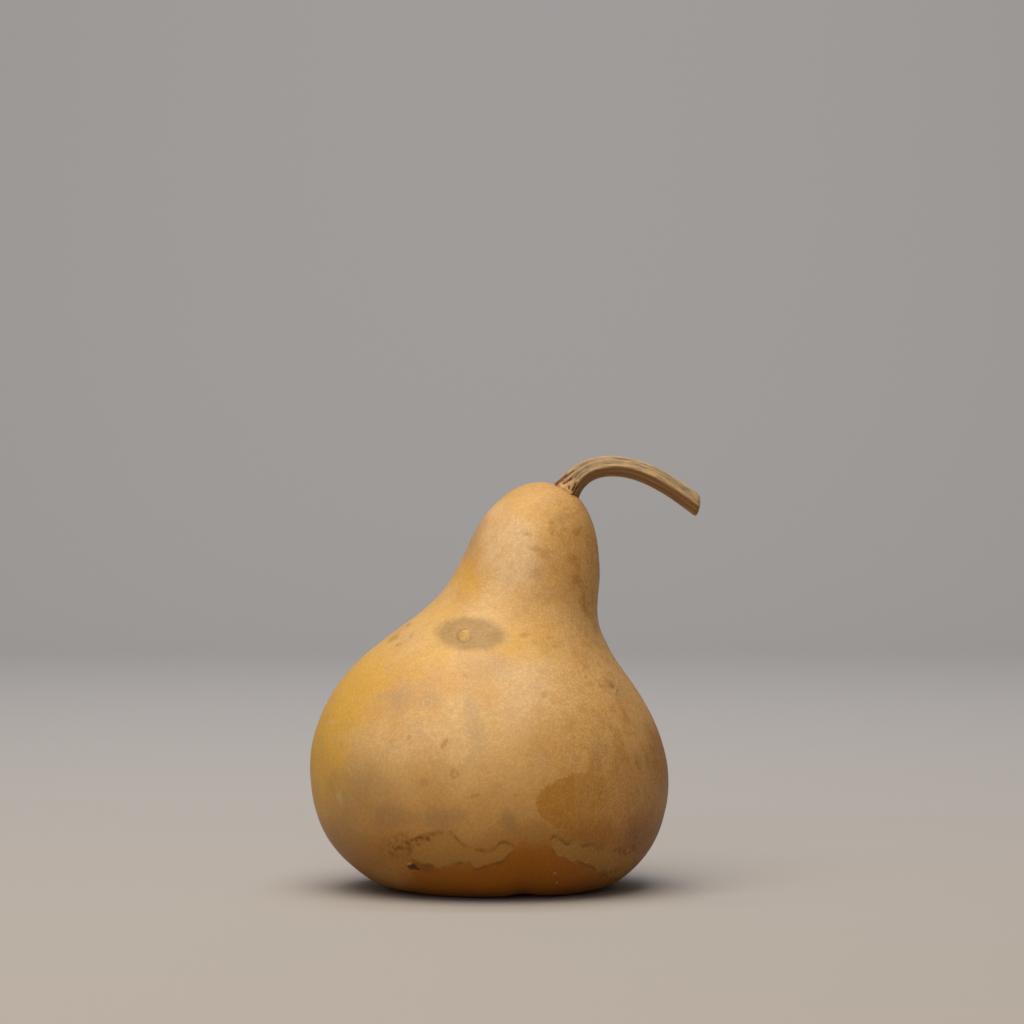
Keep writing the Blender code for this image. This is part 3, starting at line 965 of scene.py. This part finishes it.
# The stem's colours.
STRAW = (0.470, 0.302, 0.142, 1)
WEATHERED = (0.320, 0.205, 0.095, 1)
BARK = (0.205, 0.105, 0.036, 1)
WARM_BARK = (0.345, 0.178, 0.060, 1)
FOOT_ORANGE = (0.640, 0.370, 0.150, 1)
FURROW = (0.175, 0.128, 0.068, 1)
STAIN = (0.300, 0.120, 0.032, 1)
GASH = (0.070, 0.034, 0.024, 1)
PITH = (0.560, 0.400, 0.230, 1)
DARK_STRAND = (0.60, 0.54, 0.45, 1)  # as a share of the colour under it


def stem_finish():
    """The dry stalk: straw-coloured fibres, dark hollows, a brown underside and dark gashes at its foot."""
    stalk = Finish("dry_stalk")
    fibre = stalk.layer("fibre")
    hollow, under, gash, cut = (stalk.layer(name, out=2) for name in ("hollow", "under", "gash", "cut"))
    _, _, along = stalk.parts(fibre)
    strand = stalk.cloud(stalk.vector("MULTIPLY", fibre, (1, 1, 0.10)), 0.42, 4.0, 0.7)
    dirt = stalk.cloud(stalk.vector("MULTIPLY", fibre, (1, 1, 0.22)), 1.3, 3.0, 0.6, 5.0)

    colour = stalk.over(STRAW, WEATHERED, stalk.fade(dirt + 0.25 * hollow, 0.44, 0.72) * 0.80)
    colour = stalk.tinted(colour, DARK_STRAND, stalk.fade(strand, 0.44, 0.62) * 0.55)
    streaks = (hollow + 1.2 * (dirt - 0.5)) * stalk.fade(strand + 0.5 * (dirt - 0.5), 0.46, 0.60)
    colour = stalk.over(colour, FURROW, stalk.fade(streaks, 0.20, 0.70) * 0.85)
    colour = stalk.over(colour, FOOT_ORANGE, stalk.fade(along + 7 * (dirt - 0.5), 7.5, 3) * 0.75)
    shaded = stalk.fade(under + 0.5 * (strand - 0.5), 0.35, 0.65)
    brown = stalk.over(WARM_BARK, BARK, stalk.fade(strand + 0.35 * hollow, 0.48, 0.76))
    colour = stalk.over(colour, brown, shaded)
    colour = stalk.over(colour, BARK, stalk.fade(along + 2 * (strand - 0.5), 2.6, 1.6) * 0.7)
    colour = stalk.over(colour, STAIN, stalk.fade(gash + 0.9 * (dirt - 0.5), 0.0, 0.40) * 0.62)
    torn = stalk.fade(gash + 1.2 * (strand - 0.5) + 0.8 * (dirt - 0.5), 0.50, 0.80)
    colour = stalk.over(colour, GASH, torn * 0.92)

    # The cut end: pale wood with a browner pith.
    pores = stalk.cloud(fibre, 0.3, 3.0, 0.6)
    end = stalk.over(PITH, BARK, stalk.fade(pores, 0.42, 0.62) * 0.7)
    colour = stalk.over(colour, end, cut)
    stalk.feed("Base Color", colour)
    stalk.feed("Roughness", 0.66 + 0.2 * strand)
    stalk.surface.inputs["Specular IOR Level"].default_value = 0.35
    stalk.bump(strand + 0.5 * dirt, 0.14)
    return stalk.material


def make_camera():
    lens = bpy.data.cameras.new("front_view")
    lens.lens = LENS
    lens.sensor_width = SENSOR
    camera = bpy.data.objects.new("front_view", lens)
    camera.location = CAMERA
    camera.rotation_euler = (CAMERA_TILT, 0, 0)
    bpy.context.scene.collection.objects.link(camera)
    bpy.context.scene.camera = camera


def make_light(name, place, target, size, power, colour):
    """A square soft light that faces the target."""
    lamp = bpy.data.lights.new(name, "AREA")
    lamp.size = size
    lamp.energy = power
    lamp.color = colour
    light = bpy.data.objects.new(name, lamp)
    light.location = place
    toward = Vector(target) - Vector(place)
    light.rotation_euler = toward.to_track_quat("-Z", "Y").to_euler()
    bpy.context.scene.collection.objects.link(light)


def make_stage():
    """A pale floor that curves up into a backdrop, as one swept sheet, in metres."""
    near, far, tall, bend, half_wide = -3.0, 2.2, 3.0, 0.8, 4.0
    profile = [(near, 0.0), (far - bend, 0.0)]
    profile += [
        (far - bend + bend * math.sin(a), bend - bend * math.cos(a))
        for a in np.linspace(0, math.pi / 2, 25)[1:]
    ]
    profile.append((far, tall))
    corners = [(side * half_wide, y, z) for y, z in profile for side in (-1, 1)]
    faces = [(2 * i, 2 * i + 1, 2 * i + 3, 2 * i + 2) for i in range(len(profile) - 1)]
    mesh = bpy.data.meshes.new("backdrop")
    mesh.from_pydata(corners, [], faces)
    mesh.shade_smooth()
    stage = bpy.data.objects.new("backdrop", mesh)
    bpy.context.scene.collection.objects.link(stage)
    paper = Finish("pale_paper")
    paper.surface.inputs["Base Color"].default_value = (0.37, 0.325, 0.280, 1)
    paper.surface.inputs["Roughness"].default_value = 0.9
    mesh.materials.append(paper.material)


def make_world():
    world = bpy.data.worlds.new("room")
    world.use_nodes = True
    sky = world.node_tree.nodes["Background"]
    sky.inputs["Color"].default_value = (1.0, 0.98, 0.95, 1)
    sky.inputs["Strength"].default_value = 0.12
    bpy.context.scene.world = world


make_camera()
make_stage()
make_world()
BODY_MIDDLE, BACKDROP_MIDDLE = (0, 0, 0.06), (0, 2.2, 0.7)
make_light("key", (-0.18, -0.42, 1.20), BODY_MIDDLE, 1.2, 20, (1.0, 0.97, 0.93))
make_light("fill", (-0.3, -1.5, 0.55), BODY_MIDDLE, 1.0, 5.5, (1.0, 0.97, 0.92))
make_light("backdrop_light", (0, 0.6, 1.7), BACKDROP_MIDDLE, 1.2, 28, (0.86, 0.98, 1.20))
bpy.context.scene.view_settings.view_transform = "Standard"

gourd = make_gourd()
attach(gourd, "root")
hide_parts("gourd")

stem = make_stem()
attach(stem, "root")
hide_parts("stem")
